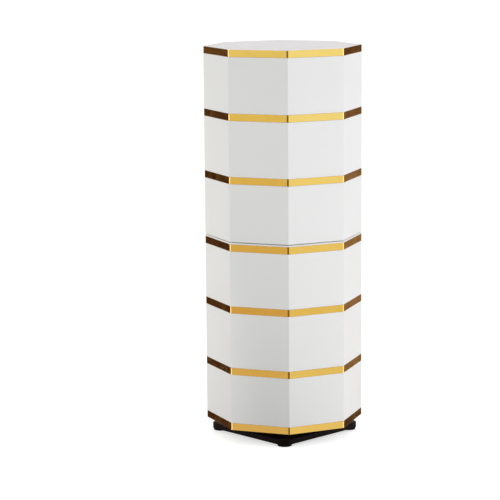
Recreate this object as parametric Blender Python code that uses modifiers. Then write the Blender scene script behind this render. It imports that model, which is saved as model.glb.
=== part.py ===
"""Rotating shoe cabinet: an octagonal tower of six tiers on a ball-bearing turntable.

Metres, +Z up. The turning axis is the world Z axis and the feet stand on Z = 0. The closed
walls face -Y and the open half faces +Y. Two stacked modules of three tiers turn together.
"""

from collections import namedtuple
from math import acos, cos, pi, radians, sin, sqrt, tan

import bmesh
import bpy
from mathutils import Matrix, Vector

# Octagon seen from above
SIDES = 8
CORNER_RADIUS = 0.220
CORNER_BEND = 0.006
INNER_BEND = 0.002

# Thicknesses of the boards, panels and sheets
BOARD_THICKNESS = 0.020
PANEL_THICKNESS = 0.012
PARTITION_THICKNESS = 0.012
STRIP_THICKNESS = 0.001
COVER_THICKNESS = 0.004
MODULE_BASE_THICKNESS = 0.009

# Clear heights inside the tiers, and how many tiers the modules have
TIER_CLEAR = 0.1525
LOWEST_CLEAR = 0.1365
LOWER_TIERS = 3
UPPER_TIERS = 3

# Clearances: faces that rest on each other, and the line where the two modules meet
SEAT_GAP = 0.0003
JOINT_REVEAL = 0.0022
PARTITION_SETBACK = 0.012
EDGE_EASE = 0.0004

# Base: a square board with round corners on four pads, turned a little from the cabinet
BASE_SIDE = 0.304
BASE_THICKNESS = 0.015
BASE_CORNER = 0.027
BASE_TURN = radians(-3.3)
FOOT_RADIUS = 0.020
FOOT_HEIGHT = 0.006
FOOT_INSET = 0.002
FOOT_EDGE = 0.001

# Turntable bearing: a fixed ring, a turning ring inside it, and balls in a cage between them
BEARING_HEIGHT = 0.010
TRACK_RADIUS = 0.083
BALL_RADIUS = 0.0024
BALL_COUNT = 24
BALL_CLEARANCE = 0.0003
RING_HALF_GAP = 0.0008
RING_WIDTH = 0.0172
RING_STEP = 0.0016
RING_CHAMFER = 0.0006
CAGE_HEIGHT = 0.006
HUB_RADIUS = 0.112
HUB_THICKNESS = 0.009
RING_SCREWS = 4
SCREW_INSET = 0.0103
SCREW_HOLE_RADIUS = 0.0022
SCREW_HEAD_RADIUS = 0.0044
ACCESS_HOLE_RADIUS = 0.009

# Bolts that hold the upper module down on the lower one
BOLT_SPREAD = 0.085
BOLT_SHANK_RADIUS = 0.003
BOLT_HEAD_RADIUS = 0.0075
BOLT_HEAD_HEIGHT = 0.0022
BOLT_SOCKET_RADIUS = 0.0022
BOLT_SOCKET_DEPTH = 0.0014
BOLT_BITE = 0.012
BOLT_END_ROOM = 0.001

# Facets of round shapes
BEND_SEGMENTS = 3
BASE_SEGMENTS = 8
RING_STEPS = 60
GROOVE_STEPS = 5
SMALL_STEPS = 24
HOLE_STEPS = 16
BALL_SEGMENTS = 10
BALL_RINGS = 6

# Heights of the pieces under the cabinet, and of the joint between the modules
BASE_Z = FOOT_HEIGHT
BEARING_Z = BASE_Z + BASE_THICKNESS
HUB_Z = BEARING_Z + BEARING_HEIGHT
CABINET_Z = HUB_Z + HUB_THICKNESS
JOINT_HEIGHT = COVER_THICKNESS + MODULE_BASE_THICKNESS

# Half of the angle between two corners, and distances from the axis to the flats
HALF_TURN = pi / SIDES
WALL_FLAT = CORNER_RADIUS * cos(HALF_TURN)
WALL_INNER_FLAT = WALL_FLAT - PANEL_THICKNESS
CORE_FLAT = WALL_FLAT - STRIP_THICKNESS - SEAT_GAP

# Bearing sizes that follow from the balls
GROOVE_RADIUS = BALL_RADIUS + BALL_CLEARANCE
GROOVE_Z = BEARING_HEIGHT / 2
OUTER_SCREW_CIRCLE = TRACK_RADIUS + RING_HALF_GAP + SCREW_INSET
INNER_SCREW_CIRCLE = TRACK_RADIUS - RING_HALF_GAP - SCREW_INSET

# The closed walls, each turned from the front corner by so many half turns
WALLS = {"left_side": -3, "left_front": -1, "right_front": 1, "right_side": 3}
BOARD_NAMES = (
    "bottom_board",
    "lower_shelf_1",
    "lower_shelf_2",
    "lower_top_board",
    "upper_shelf_1",
    "upper_shelf_2",
    "top_board",
)
MERGE = 0.00001
ROUND_PROFILE = 0.5
DIAGONAL = sqrt(2)

Tier = namedtuple("Tier", "number floor wall_floor ceiling")


# Scene, collections and materials


def clear_scene():
    for obj in list(bpy.data.objects):
        bpy.data.objects.remove(obj)


def collection(name):
    found = bpy.data.collections.new(name)
    bpy.context.scene.collection.children.link(found)
    return found


def paint(name, colour, roughness, metallic=0.0):
    made = bpy.data.materials.new(name)
    made.use_nodes = True
    shader = made.node_tree.nodes["Principled BSDF"]
    shader.inputs["Base Color"].default_value = (*colour, 1.0)
    shader.inputs["Roughness"].default_value = roughness
    shader.inputs["Metallic"].default_value = metallic
    made.diffuse_color = (*colour, 1.0)
    return made


def body_axis(name, turn=0.0):
    """An empty on the turning axis, which carries the pieces of one body."""
    empty = bpy.data.objects.new(name, None)
    empty.rotation_euler.z = turn
    PARTS.objects.link(empty)
    return empty


def piece(name, mesh, finish, body, z=0.0, turn=0.0):
    """One named piece, its mesh modelled about the axis, lifted to z and turned about Z."""
    obj = bpy.data.objects.new(name, mesh)
    PARTS.objects.link(obj)
    if not mesh.materials:
        mesh.materials.append(finish)
    obj.parent = body
    obj.location.z = z
    obj.rotation_euler.z = turn
    return obj


def tool(name, mesh, body, z=0.0):
    """A shape that cuts or joins pieces and isn't a piece itself."""
    obj = bpy.data.objects.new(name, mesh)
    TOOLS.objects.link(obj)
    obj.parent = body
    obj.location.z = z
    obj.hide_render = True
    obj.display_type = "WIRE"
    return obj


# Modifiers


def boolean(obj, other, operation="DIFFERENCE"):
    modifier = obj.modifiers.new(other.name, "BOOLEAN")
    modifier.operation = operation
    modifier.solver = "EXACT"
    modifier.object = other


def ease_edges(obj):
    modifier = obj.modifiers.new("eased edges", "BEVEL")
    modifier.width = EDGE_EASE
    modifier.segments = 1
    modifier.limit_method = "ANGLE"
    modifier.angle_limit = radians(40)


def turn_outline(obj, steps):
    """Turns the object's outline about its own Z axis."""
    modifier = obj.modifiers.new("turned", "SCREW")
    modifier.axis = "Z"
    modifier.angle = 2 * pi
    modifier.steps = steps
    modifier.render_steps = steps
    modifier.use_merge_vertices = True
    modifier.merge_threshold = MERGE
    modifier.use_smooth_shade = True


# Meshes


def to_mesh(bm, name):
    mesh = bpy.data.meshes.new(name)
    bm.to_mesh(mesh)
    bm.free()
    return mesh


def outline_mesh(name, points, closed):
    """An outline of (radius, height) points in the XZ plane, for turning."""
    bm = bmesh.new()
    verts = [bm.verts.new((r, 0.0, z)) for r, z in points]
    for pair in zip(verts, verts[1:]):
        bm.edges.new(pair)
    if closed:
        bm.edges.new((verts[-1], verts[0]))
    return to_mesh(bm, name)


def add_cone(bm, low, high, low_radius, high_radius, centre):
    """A capped upright cylinder or cone, from low to high, on the axis through centre."""
    bmesh.ops.create_cone(
        bm,
        cap_ends=True,
        segments=HOLE_STEPS,
        radius1=low_radius,
        radius2=high_radius,
        depth=high - low,
        matrix=Matrix.Translation((*centre, (low + high) / 2)),
    )


def add_box(bm, low, high):
    low, high = Vector(low), Vector(high)
    size = high - low
    bmesh.ops.create_cube(bm, size=1.0, matrix=Matrix.LocRotScale((low + high) / 2, None, size))


def round_upright_edges(bm, offset, segments):
    """Rounds the upright edges, back to offset on each side of the corner."""
    upright = [e for e in bm.edges if abs(e.verts[0].co.z - e.verts[1].co.z) > MERGE]
    bmesh.ops.bevel(
        bm,
        geom=upright,
        offset=offset,
        offset_type="OFFSET",
        segments=segments,
        profile=ROUND_PROFILE,
        affect="EDGES",
    )


def octagon_mesh(name, flat, height, bend, caps=True):
    """An octagonal prism with bent corners, one corner towards -Y, its flats at flat."""
    bm = bmesh.new()
    corner = flat / cos(HALF_TURN)
    bmesh.ops.create_cone(
        bm,
        cap_ends=caps,
        segments=SIDES,
        radius1=corner,
        radius2=corner,
        depth=height,
        matrix=Matrix.Translation((0.0, 0.0, height / 2)),
    )
    round_upright_edges(bm, bend * tan(HALF_TURN), BEND_SEGMENTS)
    return to_mesh(bm, name)


def panel_mesh(name, height):
    """A wall panel that faces -Y, its two ends mitred to meet the next panels at the corners."""
    bm = bmesh.new()
    half_side = CORNER_RADIUS * sin(HALF_TURN)
    add_box(bm, (-half_side, -WALL_FLAT, 0.0), (half_side, -WALL_INNER_FLAT, height))
    for side in (-1, 1):
        normal = Vector((side * cos(HALF_TURN), sin(HALF_TURN), 0.0))
        cut = bmesh.ops.bisect_plane(
            bm,
            geom=bm.verts[:] + bm.edges[:] + bm.faces[:],
            plane_co=-normal * SEAT_GAP / 2,
            plane_no=normal,
            clear_outer=True,
        )
        rim = [e for e in cut["geom_cut"] if isinstance(e, bmesh.types.BMEdge)]
        bmesh.ops.contextual_create(bm, geom=rim)
    bmesh.ops.recalc_face_normals(bm, faces=bm.faces)
    return to_mesh(bm, name)


# Base board and feet


def make_base_board():
    """The black square board, a corner to the front, with a hole to reach the screws above it."""
    high = BASE_THICKNESS - SEAT_GAP
    half = BASE_SIDE / 2
    bm = bmesh.new()
    add_box(bm, (-half, -half, 0.0), (half, half, high))
    round_upright_edges(bm, BASE_CORNER, BASE_SEGMENTS)
    bmesh.ops.rotate(bm, verts=bm.verts, matrix=Matrix.Rotation(pi / 4, 3, "Z"))
    board = piece("base_board", to_mesh(bm, "base_board"), BLACK, BASE, BASE_Z)
    hole = bmesh.new()
    centre = (0.0, -INNER_SCREW_CIRCLE)
    add_cone(hole, -high, 2 * high, ACCESS_HOLE_RADIUS, ACCESS_HOLE_RADIUS, centre)
    boolean(board, tool("access_hole", to_mesh(hole, "access_hole"), BASE, BASE_Z))
    ease_edges(board)


def make_feet():
    """Four rubber pads, just inside the base board's round corners."""
    corner = (BASE_SIDE / 2 - BASE_CORNER) * DIAGONAL + BASE_CORNER
    reach = corner - FOOT_INSET - FOOT_RADIUS
    high = FOOT_HEIGHT - SEAT_GAP
    outline = [
        (0.0, high),
        (FOOT_RADIUS, high),
        (FOOT_RADIUS, FOOT_EDGE),
        (FOOT_RADIUS - FOOT_EDGE, 0.0),
        (0.0, 0.0),
    ]
    mesh = outline_mesh("foot", outline, closed=False)
    for number in range(4):
        angle = number * pi / 2
        foot = piece(f"foot_{number + 1}", mesh, RUBBER, BASE)
        foot.location = (reach * sin(angle), -reach * cos(angle), 0.0)
        turn_outline(foot, SMALL_STEPS)


# Turntable bearing


def groove_points(side):
    """The groove's arc round the ball's centre: side +1 is outside the balls, -1 inside them."""
    edge = acos(RING_HALF_GAP / GROOVE_RADIUS)
    points = []
    for step in range(GROOVE_STEPS + 1):
        angle = side * edge * (2 * step / GROOVE_STEPS - 1)
        radius = TRACK_RADIUS + side * GROOVE_RADIUS * cos(angle)
        points.append((radius, GROOVE_Z + GROOVE_RADIUS * sin(angle)))
    return points


def ring_outline(side, low, high):
    """A ring's section from low to high, its groove towards the balls."""
    face = TRACK_RADIUS + side * RING_HALF_GAP
    back = face + side * RING_WIDTH
    if side > 0:
        corners = [(face, high), (back - RING_CHAMFER, high), (back, high - RING_CHAMFER), (back, low)]
        return [(face, low)] + groove_points(side) + corners
    corners = [(back + RING_CHAMFER, low), (back, low + RING_CHAMFER), (back, high), (face, high)]
    return corners + groove_points(side) + [(face, low)]


def screw_circle(radius):
    """Where the screws of a ring lie, one towards each corner of the base."""
    angles = [2 * pi * number / RING_SCREWS for number in range(RING_SCREWS)]
    return [(radius * sin(angle), -radius * cos(angle)) for angle in angles]


def cut_screw_holes(ring, circle, low, high, sunk_from):
    """Countersunk holes through a ring: sunk_from is +1 for heads on top, -1 for heads below."""
    past = BEARING_HEIGHT
    face = high if sunk_from > 0 else low
    tip = face - sunk_from * SCREW_HEAD_RADIUS
    mouth = face + sunk_from * RING_STEP
    mouth_radius = SCREW_HEAD_RADIUS + RING_STEP
    holes, sinks = bmesh.new(), bmesh.new()
    for centre in screw_circle(circle):
        add_cone(holes, low - past, high + past, SCREW_HOLE_RADIUS, SCREW_HOLE_RADIUS, centre)
        if sunk_from > 0:
            add_cone(sinks, tip, mouth, 0.0, mouth_radius, centre)
        else:
            add_cone(sinks, mouth, tip, mouth_radius, 0.0, centre)
    for kind, bm in (("holes", holes), ("countersinks", sinks)):
        name = f"{ring.name}_{kind}"
        boolean(ring, tool(name, to_mesh(bm, name), ring.parent, BEARING_Z))


def make_ring(name, side, low, high, body, circle):
    mesh = outline_mesh(name, ring_outline(side, low, high), closed=True)
    ring = piece(name, mesh, ALUMINIUM, body, BEARING_Z)
    turn_outline(ring, RING_STEPS)
    cut_screw_holes(ring, circle, low, high, side)


def make_cage():
    """The steel ball cage: a thin band in the gap between the rings, with the balls held in it."""
    half_band = RING_HALF_GAP - BALL_CLEARANCE
    half_height = CAGE_HEIGHT / 2
    corners = [
        (TRACK_RADIUS - half_band, GROOVE_Z - half_height),
        (TRACK_RADIUS - half_band, GROOVE_Z + half_height),
        (TRACK_RADIUS + half_band, GROOVE_Z + half_height),
        (TRACK_RADIUS + half_band, GROOVE_Z - half_height),
    ]
    cage = piece("ball_cage", outline_mesh("ball_cage", corners, closed=True), STEEL, CAGE, BEARING_Z)
    turn_outline(cage, RING_STEPS)
    bm = bmesh.new()
    for number in range(BALL_COUNT):
        angle = 2 * pi * (number + 0.5) / BALL_COUNT
        centre = (TRACK_RADIUS * cos(angle), TRACK_RADIUS * sin(angle), GROOVE_Z)
        bmesh.ops.create_uvsphere(
            bm,
            u_segments=BALL_SEGMENTS,
            v_segments=BALL_RINGS,
            radius=BALL_RADIUS,
            matrix=Matrix.Translation(centre),
        )
    boolean(cage, tool("balls", to_mesh(bm, "balls"), CAGE, BEARING_Z), "UNION")


def make_bearing():
    outer_high = BEARING_HEIGHT - RING_STEP
    make_ring("bearing_outer_ring", 1, 0.0, outer_high, BASE, OUTER_SCREW_CIRCLE)
    inner_high = BEARING_HEIGHT - SEAT_GAP
    make_ring("bearing_inner_ring", -1, RING_STEP, inner_high, CABINET, INNER_SCREW_CIRCLE)
    make_cage()


def make_hub():
    """The round black board that carries the cabinet on the bearing's inner ring."""
    high = HUB_THICKNESS - SEAT_GAP
    outline = [
        (0.0, high),
        (HUB_RADIUS - EDGE_EASE, high),
        (HUB_RADIUS, high - EDGE_EASE),
        (HUB_RADIUS, EDGE_EASE),
        (HUB_RADIUS - EDGE_EASE, 0.0),
        (0.0, 0.0),
    ]
    hub = piece("hub_board", outline_mesh("hub_board", outline, closed=False), BLACK, CABINET, HUB_Z)
    turn_outline(hub, RING_STEPS)


# Cabinet


def tiers():
    """The tiers from the floor up. The first tier of the upper module stands on the lower one."""
    found = []
    floor = CABINET_Z + BOARD_THICKNESS
    for number in range(1, LOWER_TIERS + UPPER_TIERS + 1):
        wall_floor = floor
        if number == LOWER_TIERS + 1:
            wall_floor = floor + COVER_THICKNESS + JOINT_REVEAL
            floor += JOINT_HEIGHT
        ceiling = floor + (LOWEST_CLEAR if number == 1 else TIER_CLEAR)
        found.append(Tier(number, floor, wall_floor, ceiling))
        floor = ceiling + BOARD_THICKNESS
    return found


def make_boards():
    """The octagonal boards, each with a mirror-gold strip bent round its edge."""
    high = BOARD_THICKNESS - SEAT_GAP
    core_bend = CORNER_BEND - STRIP_THICKNESS - SEAT_GAP
    core = octagon_mesh("board", CORE_FLAT, high, core_bend)
    band = octagon_mesh("gold_strip", WALL_FLAT, high, CORNER_BEND, caps=False)
    heights = [CABINET_Z] + [tier.ceiling for tier in TIERS]
    boards = {}
    for name, z in zip(BOARD_NAMES, heights):
        boards[name] = piece(name, core, WHITE, CABINET, z)
        strip = piece(f"{name}_gold_strip", band, GOLD, CABINET, z)
        shell = strip.modifiers.new("strip thickness", "SOLIDIFY")
        shell.thickness = STRIP_THICKNESS
        shell.offset = -1.0
        shell.use_even_offset = True
    return boards


def make_panels():
    """The closed walls: four mitred panels between each pair of boards."""
    meshes = {}
    for tier in TIERS:
        height = tier.ceiling - tier.wall_floor - SEAT_GAP
        size = round(height, 6)
        if size not in meshes:
            meshes[size] = panel_mesh("panel", height)
        for wall, turns in WALLS.items():
            name = f"tier_{tier.number}_{wall}_panel"
            ease_edges(piece(name, meshes[size], WHITE, CABINET, tier.wall_floor, turns * HALF_TURN))


def make_partitions():
    """The upright board in each tier, from the front corner back to the open side."""
    half = PARTITION_THICKNESS / 2
    front = (WALL_INNER_FLAT - SEAT_GAP - half * sin(HALF_TURN)) / cos(HALF_TURN)
    back = CORNER_RADIUS - PARTITION_SETBACK
    for tier in TIERS:
        bm = bmesh.new()
        height = tier.ceiling - tier.floor - SEAT_GAP
        add_box(bm, (-half, -front, 0.0), (half, back, height))
        name = f"tier_{tier.number}_partition"
        ease_edges(piece(name, to_mesh(bm, name), WHITE, CABINET, tier.floor))


def make_module_joint(lower_top):
    """The cover sheet of the lower module, the floor of the upper one, and four bolts."""
    first = TIERS[LOWER_TIERS]
    cover_z = first.floor - JOINT_HEIGHT
    base_z = first.floor - MODULE_BASE_THICKNESS
    cover_mesh = octagon_mesh("cover", WALL_FLAT, COVER_THICKNESS - SEAT_GAP, INNER_BEND)
    cover = piece("lower_cover_sheet", cover_mesh, WHITE, CABINET, cover_z)
    floor_flat = WALL_INNER_FLAT - SEAT_GAP
    floor_mesh = octagon_mesh("floor", floor_flat, MODULE_BASE_THICKNESS - SEAT_GAP, INNER_BEND)
    floor = piece("upper_floor_board", floor_mesh, WHITE, CABINET, base_z)

    shank = JOINT_HEIGHT + BOLT_BITE
    rim = BOLT_HEAD_RADIUS - EDGE_EASE
    outline = [
        (0.0, BOLT_HEAD_HEIGHT - BOLT_SOCKET_DEPTH),
        (BOLT_SOCKET_RADIUS, BOLT_HEAD_HEIGHT - BOLT_SOCKET_DEPTH),
        (BOLT_SOCKET_RADIUS, BOLT_HEAD_HEIGHT),
        (rim, BOLT_HEAD_HEIGHT),
        (BOLT_HEAD_RADIUS, BOLT_HEAD_HEIGHT - EDGE_EASE),
        (BOLT_HEAD_RADIUS, 0.0),
        (BOLT_SHANK_RADIUS, 0.0),
        (BOLT_SHANK_RADIUS, -shank),
        (0.0, -shank),
    ]
    mesh = outline_mesh("bolt", outline, closed=False)
    holes = bmesh.new()
    places = [(x * BOLT_SPREAD, y * BOLT_SPREAD) for x in (-1, 1) for y in (-1, 1)]
    hole_radius = BOLT_SHANK_RADIUS + SEAT_GAP
    for number, centre in enumerate(places):
        bolt = piece(f"module_bolt_{number + 1}", mesh, STEEL, CABINET)
        bolt.location = (*centre, first.floor)
        turn_outline(bolt, HOLE_STEPS)
        add_cone(holes, -shank - BOLT_END_ROOM, shank, hole_radius, hole_radius, centre)
    hole_tool = tool("bolt_holes", to_mesh(holes, "bolt_holes"), CABINET, first.floor)
    for board in (lower_top, cover, floor):
        boolean(board, hole_tool)


clear_scene()
PARTS = collection("rotating_shoe_cabinet")
TOOLS = collection("cutters")

WHITE = paint("white_lacquer", (0.86, 0.86, 0.85), 0.35)
GOLD = paint("mirror_gold", (0.86, 0.62, 0.25), 0.08, 1.0)
BLACK = paint("black_laminate", (0.015, 0.013, 0.012), 0.45)
RUBBER = paint("black_rubber", (0.02, 0.02, 0.02), 0.85)
ALUMINIUM = paint("aluminium", (0.72, 0.73, 0.75), 0.35, 1.0)
STEEL = paint("bright_steel", (0.62, 0.62, 0.63), 0.22, 1.0)

BASE = body_axis("base_axis", BASE_TURN)
CAGE = body_axis("cage_axis")
CABINET = body_axis("cabinet_axis")
TIERS = tiers()

make_base_board()
make_feet()
make_bearing()
make_hub()
made_boards = make_boards()
make_panels()
make_partitions()
make_module_joint(made_boards["lower_top_board"])
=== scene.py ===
"""Looks of the rotating shoe cabinet: a white octagonal tower with seven mirror-gold bands.

Metres, +Z up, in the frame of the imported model: the turning axis is Z, the feet stand on Z = 0, a
corner of the cabinet points to -Y and its open half faces +Y. An azimuth is an angle round the
axis, counted from -Y towards +X, which is anticlockwise seen from above.
"""

from collections import namedtuple
from math import cos, pi, radians, sin, tan

import bmesh
import bpy
import numpy as np
from mathutils import Matrix, Vector


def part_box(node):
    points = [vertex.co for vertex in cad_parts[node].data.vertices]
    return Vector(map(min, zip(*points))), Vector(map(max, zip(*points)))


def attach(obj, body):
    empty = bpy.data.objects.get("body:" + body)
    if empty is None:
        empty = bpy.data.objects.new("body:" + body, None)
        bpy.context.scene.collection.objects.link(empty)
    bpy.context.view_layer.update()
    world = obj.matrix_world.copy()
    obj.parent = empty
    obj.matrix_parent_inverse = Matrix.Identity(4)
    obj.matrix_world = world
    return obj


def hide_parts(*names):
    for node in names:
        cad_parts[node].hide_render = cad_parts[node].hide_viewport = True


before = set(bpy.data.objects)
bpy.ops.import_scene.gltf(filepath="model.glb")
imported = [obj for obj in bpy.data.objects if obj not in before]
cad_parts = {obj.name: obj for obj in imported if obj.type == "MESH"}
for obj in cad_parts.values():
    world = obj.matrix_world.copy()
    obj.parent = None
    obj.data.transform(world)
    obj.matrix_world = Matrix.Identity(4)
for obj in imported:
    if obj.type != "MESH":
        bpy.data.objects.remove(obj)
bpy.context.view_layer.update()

# Sizes of the cabinet that the finer pieces share with its solids
SIDES = 8
HALF_TURN = pi / SIDES
WALL_REACH = 0.220
WALL_FLAT = WALL_REACH * cos(HALF_TURN)
PANEL_THICKNESS = 0.012
STRIP_THICKNESS = 0.001
STRIP_BEND = 0.006
SEAT_GAP = 0.0003
BASE_TURN = radians(-3.3)

# Roundings: what a cutter, a press or a sander leaves on the real edges
PANEL_EDGE = 0.0004
PANEL_CORNER = 0.0006
MITRE_LINE = 0.00005
BOARD_EDGE = 0.0005
HUB_EDGE = 0.001
BASE_EDGE = 0.0002
STRIP_EDGE = 0.0003

# How a rounding is drawn: steps of an arc, steps of an edge, and the distance beside it at which
# points hold the flat
ARC_STEPS = 10
EDGE_STEPS = 4
HOLD = 0.0001

# Creases turn by more than SHARP, faces within FLAT are one face, points within WELD are one point
SHARP = radians(35)
FLAT = radians(1)
WELD = 0.00001

# The butt seam of each gold strip, and the waves of its thin metal: their lengths, how far they push
# it in, the distance between its points, and the shifts from strip to strip and from wave to wave
STRIP_SEAM = 0.0003
STRIP_SEAM_AZIMUTH = radians(157.5)
WAVE_LENGTHS = (0.083, 0.047, 0.029)
WAVE_DEPTHS = (0.000030, 0.000016, 0.000007)
WAVE_SPACING = 0.0035
STRIP_PHASE = 2.4
WAVE_PHASE = 1.7

# Countersunk screws of the bearing rings: their circles, radii and cross recess, narrower at its floor
SCREWS = 4
OUTER_SCREW_CIRCLE = 0.0941
INNER_SCREW_CIRCLE = 0.0719
SCREW_HEAD = 0.0042
SCREW_SHANK = 0.0019
SCREW_RIM = 0.0002
SCREW_INSET = 0.0001
CROSS_WIDTH = 0.00055
CROSS_REACH = 0.0023
CROSS_FLOOR_WIDTH = 0.7 * CROSS_WIDTH
CROSS_FLOOR_REACH = 0.8 * CROSS_REACH
CROSS_DEPTH = 0.0013

# Bolts between the modules, with hexagon sockets, a little narrower at their floor
MODULE_BOLTS = 4
BOLT_HEAD_HEIGHT = 0.0022
BOLT_SHANK = 0.003
BOLT_RIM = 0.0005
SOCKET_REACH = 0.0024
SOCKET_FLOOR_REACH = 0.97 * SOCKET_REACH
SOCKET_DEPTH = 0.0014

# Balls and their cage; a ball is cut flat at its poles, at this angle from them
BALLS = 24
BALL_RADIUS = 0.0024
BALL_RINGS = 13
BALL_POLE = 0.1
TRACK_RADIUS = 0.083
CAGE_HALF_HEIGHT = 0.0029
CAGE_HALF_BAND = 0.0005

# Caps over the fittings: size, distance from a wall's middle, height above the tier's floor, and gap
CAP_RADIUS = 0.0075
CAP_RISE = 0.0011
CAP_SPREAD = 0.045
CAP_HEIGHT = 0.030
CAP_GAP = SEAT_GAP / 3

# Profile of a foot: its sole from the hollow outwards, as shares of the radius with heights, and its
# rims, each point so far in from the radius and so far from the lower or upper face
FEET = 4
FOOT_SOLE = (
    (0.40, 0.0014),
    (0.45, 0.0012),
    (0.48, 0.0002),
    (0.50, 0.0),
    (0.64, 0.0),
    (0.66, 0.0008),
    (0.70, 0.0008),
    (0.72, 0.0),
)
FOOT_LOWER_RIM = ((0.0012, 0.0), (0.0004, 0.0003), (0.0, 0.0012))
FOOT_UPPER_RIM = ((0.0, 0.0008), (0.0003, 0.0002), (0.0009, 0.0))

# Names: the bodies, the walls with the half turns at which they face, the tiers, the boards with a
# gold strip round them, and the one of these boards that the bolts go through
BASE, CAGE, CABINET = "base", "ball_cage", "cabinet"
WALLS = {"left_side": -3, "left_front": -1, "right_front": 1, "right_side": 3}
TIERS = range(1, 7)
BOARDS = sorted(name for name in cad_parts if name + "_gold_strip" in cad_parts)
DRILLED_BOARD = "lower_top_board"

Skin = namedtuple("Skin", "grid rows_close columns_close edge run")


# Surfaces


def plan(azimuth):
    """The unit vector of an azimuth, seen from above."""
    return np.array([sin(azimuth), -cos(azimuth)])


def skin(grid, rows_close=False, columns_close=True, edge=None, run=None):
    """A grid of points with its marks: edge is 1 on rounded edges, run is the place along the piece."""
    flat = np.zeros(grid.shape[:2])
    edge = flat if edge is None else np.broadcast_to(edge, flat.shape)
    run = grid if run is None else run
    return Skin(grid, rows_close, columns_close, edge, run)


def skin_faces(made, first):
    """Four-sided faces between neighbours in the grid, and a flat face over each end that stays open."""
    rows, columns = made.grid.shape[:2]
    index = first + np.arange(rows * columns).reshape(rows, columns)
    ring = [index, np.roll(index, -1, 1), np.roll(index, (-1, -1), (0, 1)), np.roll(index, -1, 0)]
    quads = np.stack(ring, axis=2)
    ends = []
    if not made.rows_close:
        quads = quads[:-1]
        ends += [index[0, ::-1].tolist(), index[-1].tolist()]
    if not made.columns_close:
        quads = quads[:, :-1]
        ends += [index[:, 0].tolist(), index[::-1, -1].tolist()]
    return quads.reshape(-1, 4).tolist() + ends


def piece(name, skins, slot, body, *nodes, sharp=None):
    """A piece made of closed skins, painted, riding on its body, in place of the nodes named."""
    faces, first = [], 0
    for made in skins:
        faces += skin_faces(made, first)
        first += made.edge.size
    mesh = bpy.data.meshes.new(name)
    mesh.from_pydata(np.concatenate([made.grid.reshape(-1, 3) for made in skins]), [], faces)
    mesh.polygons.foreach_set("use_smooth", np.ones(len(faces), bool))
    edge = mesh.attributes.new("edge", "FLOAT", "POINT")
    edge.data.foreach_set("value", np.concatenate([made.edge.ravel() for made in skins]))
    run = mesh.attributes.new("run", "FLOAT_VECTOR", "POINT")
    run.data.foreach_set("vector", np.concatenate([made.run.ravel() for made in skins]))
    if sharp:
        mesh.set_sharp_from_angle(angle=sharp)
    return fit(bpy.data.objects.new(name, mesh), slot, body, *nodes)


def fit(made, slot, body, *nodes):
    """Puts a piece into the scene with the finish that its slot names, riding on its body, in place of
    the nodes named.
    """
    bpy.context.scene.collection.objects.link(made)
    made.data.materials.clear()
    made.data.materials.append(FINISHES[slot])
    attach(made, body)
    if nodes:
        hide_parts(*nodes)
    return made


def rounded_polygon(corners, radii):
    """A convex outline with arcs for corners, as points, outward normals and a mark on the arcs.

    The corners run anticlockwise. An arc of radius r touches both sides of its corner: its centre
    lies r (m + n) / (1 + m.n) inside the corner, m and n being the normals of the two sides, and
    its points turn evenly from m to n. A holding point before and after it keeps the sides flat.
    """
    corners = np.asarray(corners, float)
    radii = np.broadcast_to(np.asarray(radii, float), len(corners))[:, None]
    along = np.roll(corners, -1, axis=0) - corners
    along /= np.linalg.norm(along, axis=1, keepdims=True)
    after = np.stack([along[:, 1], -along[:, 0]], axis=1)
    before = np.roll(after, 1, axis=0)
    cosine = (before * after).sum(1)
    sine = before[:, 0] * after[:, 1] - before[:, 1] * after[:, 0]
    centre = corners - radii * (before + after) / (1 + cosine)[:, None]
    start = np.arctan2(before[:, 1], before[:, 0])[:, None]
    angle = start + np.arctan2(sine, cosine)[:, None] * np.linspace(0, 1, ARC_STEPS + 1)
    normals = np.stack([np.cos(angle), np.sin(angle)], axis=2)
    points = centre[:, None] + radii[:, None] * normals
    lead = points[:, :1] - HOLD * np.roll(along, 1, axis=0)[:, None]
    trail = points[:, -1:] + HOLD * along[:, None]
    points = np.concatenate([lead, points, trail], axis=1)
    normals = np.concatenate([normals[:, :1], normals, normals[:, -1:]], axis=1)
    arcs = np.ones(points.shape[:2])
    arcs[:, [0, -1]] = 0
    return points.reshape(-1, 2), normals.reshape(-1, 2), arcs.ravel()


def circle(radius, steps):
    """A round outline: points at even angles, each with its own normal."""
    angle = 2 * pi * np.arange(steps) / steps
    normals = np.stack([np.cos(angle), np.sin(angle)], axis=1)
    return radius * normals, normals, np.zeros(steps)


def octagon(flat, bend):
    """The cabinet's outline seen from above, one corner towards -Y, its flats at a given distance."""
    reach = flat / cos(HALF_TURN)
    return rounded_polygon([reach * plan(2 * HALF_TURN * k) for k in range(SIDES)], bend)


def slab(outline, low, high, edge):
    """A flat board: its outline carried from low to high, drawn in over a quarter circle at both rims.

    Ring by ring the outline moves inwards by an inset: edge (1 - sin t) at a height edge (1 - cos t)
    above the lower face as t turns from 0 to 90 degrees, and the same in reverse under the upper face.
    """
    points, normals, arcs = outline
    turn = np.linspace(0, pi / 2, EDGE_STEPS + 1)
    inset, lift = edge * (1 - np.sin(turn)), edge * (1 - np.cos(turn))
    insets = np.concatenate([[edge + HOLD], inset, [0, 0], inset[::-1], [edge + HOLD]])
    bottom = np.concatenate([[0], lift, [edge + HOLD]])
    heights = np.concatenate([low + bottom, high - bottom[::-1]])
    rounded = np.concatenate([[0], np.ones(EDGE_STEPS + 1), [0]])
    rings = points - insets[:, None, None] * normals
    tall = np.broadcast_to(heights[:, None, None], (*rings.shape[:2], 1))
    edge_mark = np.maximum(np.concatenate([rounded, rounded[::-1]])[:, None], arcs[None])
    return skin(np.concatenate([rings, tall], axis=2), edge=edge_mark)


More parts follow.
